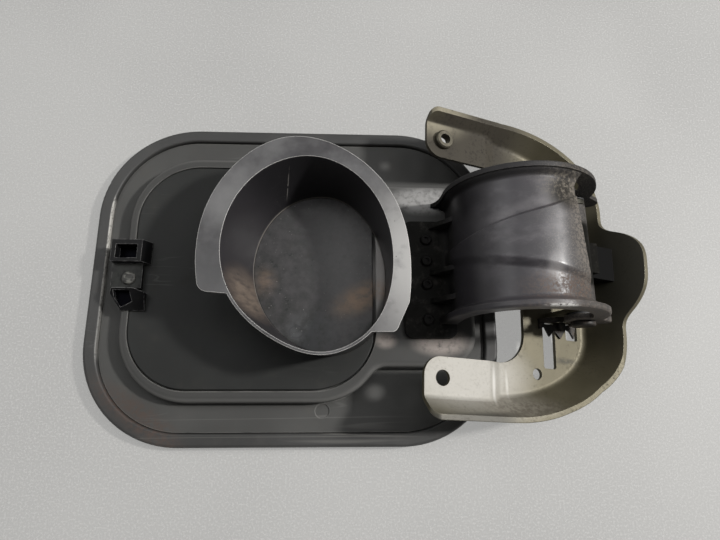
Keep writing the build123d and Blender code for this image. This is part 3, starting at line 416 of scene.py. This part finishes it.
def arm_satin():
    f, rough, height = moulded_black("arm_satin", ARM_BLACK, ARM_WORN, 0.5, 0.5)
    along_x, along_y = f.along("X"), f.along("Y")
    # Smears over the crown, also painted paler as a sheen
    smears_and_sheen = f.ramp(f.grain(9, 5, 0.6, (2.2, 1, 1), (0, 0, 16)), 0.4, 0.75)
    f.coat(f.patch((100, 8, 58), (40, 34, 30), 0.6) * smears_and_sheen * 0.65, ARM_SMEAR_AND_SHEEN)
    # Painted shade on the left flank, which faces away from the key light; metal there dulls its reflection
    flank_shade = f.patch((76, 27, 42), (13, 13, 19), 0.8)
    f.coat(flank_shade.most(f.ramp(along_x, 88, 75)) * 0.7, ARM_FLANK_SHADE)
    dry = f.ramp(along_x, 109, 116)
    f.coat(dry * 0.6 + 0.3 * f.ramp(along_x, 114, 121), ARM_DRY)
    # Painted shade on the upper lip
    lip = f.ramp(along_y, 31.5, 33.5)
    f.coat(lip * 0.8, ARM_LIP_SHADE)
    # A polished spot, with a paler colour that is a painted glint
    polish_and_glint = f.patch((107, -7, 59), (5, 8, 8), 0.8)
    f.coat(polish_and_glint * 0.6, ARM_GLINT)
    # Painted highlight along the upper side of the ridge, and painted shade along its lower side
    crest = f.patch((96, 18.5, 54), (25, 4.5, 16), 0.9, (0, 0, 17)) * f.blots(7, 0.2, 0.6, 4, 0.6)
    f.coat(crest * 0.5, ARM_CREST_HIGHLIGHT)
    f.coat(f.patch((94, -5.5, 54), (20, 3.0, 16), 0.9, (0, 0, -4)) * 0.5, ARM_FOLD_SHADE)
    f.coat(f.blots(0.6, 0.5, 0.64, 3, 0.8) * f.ramp(along_x, 92, 114) * 0.5, ARM_SAND)
    baked = f.patch((114, 25, 56), (12, 11, 13), 0.7)
    f.coat(baked * 0.9, ARM_BAKED)
    scuff = f.patch((117, 29, 51), (19, 12, 22), 0.7) * f.blots(1.7, 0.46, 0.6, 5, 0.75)
    f.coat(scuff * 0.7, ARM_SCUFF)
    grit = f.patch((111, -15, 54), (24, 10, 26), 0.75) * f.blots(1.1, 0.42, 0.6, 5, 0.75)
    f.coat(grit * 0.85, ARM_GRIT)
    crust = f.patch((121, 10, 47), (9, 32, 24), 0.6) * f.blots(1.4, 0.42, 0.58, 5, 0.75)
    f.coat(crust * 0.7, ARM_CRUST)
    mud = f.ramp(along_y, -20, -24) * f.ramp(along_x, 82, 100) * f.blots(2.6, 0.36, 0.62, 5, 0.7)
    f.coat(mud * 0.6, ARM_MUD)
    f.coat(f.edge(0.5, 0.03, 0.25) * f.blots(2.2, 0.36, 0.6, 4, 0.7) * 0.5, ARM_EDGE)
    # Scrapes on the lower lip's edge, also painted bright as a highlight
    scrape_and_highlight = f.patch((107, -23.1, 62.4), (9, 0.9, 4), 0.6) * f.blots(1.2, 0.4, 0.52, 3, 0.7)
    f.coat(scrape_and_highlight * 0.9, ARM_SCRAPE_AND_HIGHLIGHT)
    # Grime and painted shade on the foot under the arch and on the tab past the web's end; metal there dulls
    # reflection
    grime_and_shade = f.ramp(along_x, 80, 70) * f.ramp(f.along("Z"), 34, 22)
    grime_and_shade = grime_and_shade.most(f.ramp(along_x, 124.6, 126) * f.between(along_y, -8, 22, 2))
    f.coat(grime_and_shade * 0.9, f.mix(f.blots(5, 0.5, 0.75, 5, 0.7), ARM_GRIME_SHADE, ARM_GRIME_SHADE_DRY))
    rough = rough - 0.13 - 0.16 * polish_and_glint + 0.26 * dry + 0.22 * lip + 0.2 * scuff + 0.4 * baked
    rough = rough + 0.4 * grit + 0.2 * crust + 0.15 * mud + 0.35 * grime_and_shade
    height = height + 1.5 * scuff + 2.0 * crust
    metal = (grime_and_shade * 0.75).most(flank_shade * 0.7)
    return f.done(f.surface(rough, height, SPARK_DEEP, soft=0.35, metal=metal))


# Bracket: olive metallic paint on pressed sheet, pale dust with a painted sheen on the low ear, grime with
# painted shade on the upper one, painted highlights on the low ear's bends and on the walls, soot about the
# openings, painted shade on the inner face of the right wall, dark spots, and rims worn and painted bright as
# highlights
OLIVE_DARK = (0.092, 0.082, 0.051)
OLIVE_PALE = (0.118, 0.105, 0.069)
BRACKET_DUST_AND_SHEEN = (0.5, 0.485, 0.45)
BRACKET_WALL_HIGHLIGHT = (0.34, 0.315, 0.265)
BRACKET_GRIME_AND_SHADE = (0.024, 0.019, 0.013)
BRACKET_TIP = (0.3, 0.272, 0.2)
BRACKET_LOW_RIM = (0.07, 0.067, 0.058)
BRACKET_SILT = (0.06, 0.046, 0.034)
BRACKET_SOOT_AND_SHADE = (0.018, 0.018, 0.014)
BRACKET_CREASE_HIGHLIGHT = (0.74, 0.73, 0.7)
BRACKET_SPOT = (0.02, 0.017, 0.014)
BRACKET_RIM_WEAR_AND_HIGHLIGHT = (0.4, 0.375, 0.3)


def bracket_olive():
    f = Finish("bracket_olive")
    up = f.faces("Z")
    cloud = f.grain(24, 4, 0.6)
    f.colour = f.mix(f.ramp(cloud, 0.3, 0.7), OLIVE_DARK, OLIVE_PALE)
    # Pale dust on the low ear, also painted paler as a sheen, with less metal where it lies
    dust = f.patch((76, -48, 28), (54, 25, 26), 0.75) * f.blots(1.2, -0.1, 0.5, 4, 0.7)
    dust = dust * f.ramp(up, 0.3, 0.72)
    f.coat(dust * 0.8, BRACKET_DUST_AND_SHEEN)
    # Painted highlight on the low wall, and a weaker one on the upper wall
    wall_highlight = f.patch((100, -61, 24), (30, 8, 18), 0.8) * f.blots(5, 0.2, 0.6, 4, 0.6)
    wall_highlight = wall_highlight.most(f.patch((110, 66, 17), (15, 9, 16), 0.8) * 0.2)
    f.coat(wall_highlight * 0.5, BRACKET_WALL_HIGHLIGHT)
    # Grime spots all over, and painted shade over the upper ear, which is also made rougher and less metal
    grime_and_shade = f.blots(1.5, 0.5, 0.68, 5, 0.75) * f.blots(14, 0.35, 0.65, 3)
    upper_ear = f.patch((86, 62, 27), (42, 26, 26), 0.5)
    f.coat(grime_and_shade * (0.35 - 0.25 * dust) + upper_ear * (0.82 + 0.16 * grime_and_shade), BRACKET_GRIME_AND_SHADE)
    tip = f.patch((66, 74, 32), (28, 14, 14), 0.9) * f.blots(3, 0.1, 0.5, 4, 0.6) * f.ramp(up, 0.75, 0.9)
    f.coat(tip * 0.9, BRACKET_TIP)
    low_rim = f.ramp(f.along("Y"), -62.5, -64.5) * f.ramp(f.along("X"), 104, 88)
    f.coat(low_rim * 0.85, BRACKET_LOW_RIM)
    silt = f.patch((104, -62, 24), (34, 8, 20), 0.8) * f.blots(2.2, 0.4, 0.62, 5, 0.7) * f.ramp(up, 0.8, 0.6)
    f.coat(silt * 0.5, BRACKET_SILT)
    soot = f.patch((113, -24, 22), (14, 9, 14), 0.8) * f.blots(3, 0.3, 0.55, 4, 0.7)
    soot = soot.most(f.patch((134, 31, 29), (9, 9, 9), 0.4))
    smudge = f.patch((131, -40, 9), (12, 2.4, 9), 0.9, (0, 0, -4)) * f.blots(2, 0.2, 0.55, 4, 0.7)
    # Painted shade on the inner face of the right wall, which faces away from the key light
    bowl = f.patch((152, 4, 24), (32, 50, 34), 0.6) * f.ramp(f.faces("X"), 0.1, -0.3)
    f.coat(soot.most(smudge).most(bowl) * 0.8, BRACKET_SOOT_AND_SHADE)
    # Painted highlights along the bends of the low ear
    crease = f.patch((90, -51, 23.5), (1.5, 12, 6), 0.9, (0, 0, -3))
    crease = crease.most(f.patch((97, -51, 21), (1.2, 9, 6), 0.9) * 0.6)
    f.coat(crease * 0.75, BRACKET_CREASE_HIGHLIGHT)
    spots = f.speck(3.4, 0.09) * f.blots(13, 0.5, 0.62)
    spots = spots.most(f.speck(1.9, 0.13) * upper_ear * f.blots(6, 0.46, 0.6, 3))
    f.coat(spots * 0.8, BRACKET_SPOT)
    # Worn rims, also painted paler as highlights
    f.coat(f.edge(0.3, 0.03, 0.2) * f.blots(4, 0.3, 0.5, 3, 0.6) * 0.6, BRACKET_RIM_WEAR_AND_HIGHLIGHT)
    rough = 0.45 + 0.08 * cloud + 0.15 * grime_and_shade + 0.12 * dust + 0.26 * upper_ear
    height = f.grain(0.8, 3, 0.6) + 0.4 * f.grain(3, 2)
    metal = 0.45 - 0.35 * dust - 0.3 * spots - 0.38 * upper_ear
    return f.done(f.surface(rough, height, deep=0.006, soft=0.35, metal=metal))


# Small pieces: nut, rivet, pin with its clip and the spring plate, screws, bushes, rubber buffer
NUT_DARK, NUT_PALE, NUT_EDGE = (0.075, 0.068, 0.05), (0.12, 0.11, 0.085), (0.3, 0.28, 0.24)
RIVET_DARK, RIVET_PALE, RIVET_SCRATCH = (0.012, 0.012, 0.011), (0.055, 0.055, 0.05), (0.2, 0.2, 0.18)
STEEL_DARK, STEEL_RUSTY = (0.022, 0.021, 0.02), (0.075, 0.06, 0.048)
SCREW_SHADED_DARK, SCREW_SHADED_PALE = (0.005, 0.005, 0.005), (0.012, 0.011, 0.01)
BUSH_DARK, BUSH_PALE = (0.04, 0.04, 0.04), (0.08, 0.08, 0.08)
RUBBER_SHADED_DARK, RUBBER_SHADED_PALE, RUBBER_EDGE = (0.004, 0.004, 0.004), (0.007, 0.007, 0.007), (0.03, 0.03, 0.029)
RUBBER_SPECULAR = 0.04


def clouded(name, size, dark, pale, cut=None):
    """A finish that drifts from dark to pale in clouds of that size; cut makes their edges firmer."""
    f = Finish(name)
    cloud = f.grain(size, 4, 0.6)
    f.colour = f.mix(f.ramp(cloud, *cut) if cut else cloud, dark, pale)
    return f, cloud


def steel_dull():
    f, cloud = clouded("steel_dull", 3, NUT_DARK, NUT_PALE, (0.35, 0.7))
    f.coat(f.edge(0.3) * 0.4, NUT_EDGE)
    return f.done(f.surface(0.42 + 0.2 * cloud, f.grain(0.5, 3), deep=0.006, soft=0.2, metal=0.7))


def rivet_black():
    f, cloud = clouded("rivet_black", 2, RIVET_DARK, RIVET_PALE, (0.35, 0.7))
    f.coat(f.hairs(1.6, (0, 0, 24), 0.05, 5) * 0.5, RIVET_SCRATCH)
    return f.done(f.surface(0.5 + 0.2 * cloud, f.grain(0.5, 3), deep=0.02, soft=0.3))


def steel_black():
    f, cloud = clouded("steel_black", 3, STEEL_DARK, STEEL_RUSTY, (0.4, 0.75))
    return f.done(f.surface(0.42 + 0.25 * cloud, f.grain(0.5, 3), deep=0.008, soft=0.2, metal=0.5))


def screw_black():
    # Black screws, also painted near black as the shade under the arm, and metal so they reflect next to
    # nothing
    f, cloud = clouded("screw_black", 2, SCREW_SHADED_DARK, SCREW_SHADED_PALE)
    return f.done(f.surface(0.5 + 0.2 * cloud, f.grain(0.5, 3), deep=0.006, soft=0.2, metal=0.8))


def bush_grey():
    f, cloud = clouded("bush_grey", 3, BUSH_DARK, BUSH_PALE)
    return f.done(f.surface(0.5 + 0.1 * cloud, f.grain(0.5, 3), deep=0.006, soft=0.2))


def buffer_rubber():
    # Black rubber, also painted near black as the shade of the bracket wall
    f, cloud = clouded("buffer_rubber", 5, RUBBER_SHADED_DARK, RUBBER_SHADED_PALE)
    f.coat(f.edge(0.5) * f.blots(3, 0.4, 0.6, 3) * 0.5, RUBBER_EDGE)
    return f.done(f.surface(0.5 + 0.2 * cloud, f.grain(0.9, 3), deep=0.008, soft=0.3,
                            specular=RUBBER_SPECULAR))


paint(skin_black(), "outer_skin")
paint(frame_black(), "inner_frame")
paint(panel_black(), "centre_panel")
paint(cup_grey(), "cap_holder")
paint(latch_gloss(), "latch_striker")
paint(arm_satin(), "hinge_arm")
paint(bracket_olive(), "hinge_bracket")
paint(steel_dull(), "ear_nut")
paint(rivet_black(), "latch_rivet")
paint(steel_black(), "hinge_pin", "pin_clip", "hinge_spring", "spring_rivet")
paint(screw_black(), "arm_screws")
paint(bush_grey(), "pivot_bushes")
paint(buffer_rubber(), "stop_buffer")

# Table: a pale grained sheet. Seen directly it lets part of the pale room below through, so shadows on it
# stay faint, and the door still shows where it swings below the table
TABLE_HALF = 4.0
TABLE_LETS_THROUGH = 0.65
SHEET_DARK = (0.36, 0.355, 0.34)
SHEET_PALE = (0.5, 0.495, 0.475)
SHEET_GRAIN = (0.76, 0.755, 0.735)


def table_pale():
    f = Finish("table_pale")
    peel = f.grain(0.9, 3, 0.6)
    f.colour = f.mix(f.blots(150, 0.3, 0.7), SHEET_DARK, SHEET_PALE)
    f.coat(f.ramp(peel, 0.46, 0.66) * 0.7, SHEET_GRAIN)
    sheet = f.surface(0.5 + 0.1 * peel, peel, deep=0.05, soft=0.0)
    clear = f.node("ShaderNodeBsdfTransparent", {}, {})
    camera_ray, glossy_ray, clear_ray, shadow_ray = [
        f.node("ShaderNodeLightPath", {}, {}, f"Is {kind} Ray")
        for kind in ("Camera", "Glossy", "Transmission", "Shadow")]
    through = (camera_ray.most(glossy_ray).most(clear_ray) * TABLE_LETS_THROUGH).most(shadow_ray)
    return f.done(f.node("ShaderNodeMixShader", {}, {0: through, 1: sheet, 2: clear}))


table_mesh = bpy.data.meshes.new("table_top")
shape = bmesh.new()
bmesh.ops.create_grid(shape, x_segments=1, y_segments=1, size=TABLE_HALF)
shape.to_mesh(table_mesh)
shape.free()
table_mesh.materials.append(table_pale())
table = bpy.data.objects.new("table_top", table_mesh)
scene.collection.objects.link(table)

# Lamps: name, place and aim in metres, size in metres, watts, colour
WHITE = (1, 1, 1)
WARM_WHITE = (1, 0.98, 0.955)
LAMPS = [
    ("key_from_right", (0.94, 0.125, 0.885), (0.05, 0, 0.02), (0.1, 0.1), 14.4, WARM_WHITE),
    ("softbox_above", (-0.03, 0.32, 1.13), (0.0, 0.0, 0.02), (0.36, 0.42), 1.0, WHITE),
    ("softbox_right", (0.5, 0.26, 0.98), (0.09, 0.0, 0.04), (0.36, 0.5), 2.0, WHITE),
    ("softbox_left", (-0.63, 0.40, 0.93), (0.09, 0.0, 0.04), (0.5, 0.5), 2.3, WHITE),
]
for name, place, aim, size, watts, colour in LAMPS:
    light = bpy.data.lights.new(name, "AREA")
    light.shape = "RECTANGLE"
    light.size, light.size_y = size
    light.energy = watts
    light.color = colour
    lamp = bpy.data.objects.new(name, light)
    lamp.location = place
    lamp.rotation_euler = (Vector(aim) - Vector(place)).to_track_quat("-Z", "Y").to_euler()
    scene.collection.objects.link(lamp)

# Room: pale walls up to a darker ceiling
ROOM_TINT = (1.0, 0.995, 0.975)
WALL_LIGHT = 0.5
CEILING_LIGHT = 0.06
world = bpy.data.worlds.new("studio")
world.use_nodes = True
scene.world = world
room = NodeTree(world.node_tree)
rise = room.node("ShaderNodeSeparateXYZ", {}, {0: room.node("ShaderNodeTexCoord", {}, {}, "Generated")}, "Z")
strength = room.ramp(rise, 0.1, 0.75, WALL_LIGHT, CEILING_LIGHT)
glow = room.node("ShaderNodeBackground", {}, {"Color": ROOM_TINT, "Strength": strength})
room.node("ShaderNodeOutputWorld", {}, {"Surface": glow})

camera_data = bpy.data.cameras.new("camera")
camera_data.sensor_width = SENSOR_MM
camera_data.lens = LENS_MM
camera_data.clip_start = NEAREST_MM / MM
camera = bpy.data.objects.new("camera", camera_data)
camera.location = Vector(CAMERA_MM) / MM
camera.rotation_euler = Euler([radians(t) for t in CAMERA_TURN], "XYZ")
scene.collection.objects.link(camera)
scene.camera = camera

bpy.context.view_layer.update()
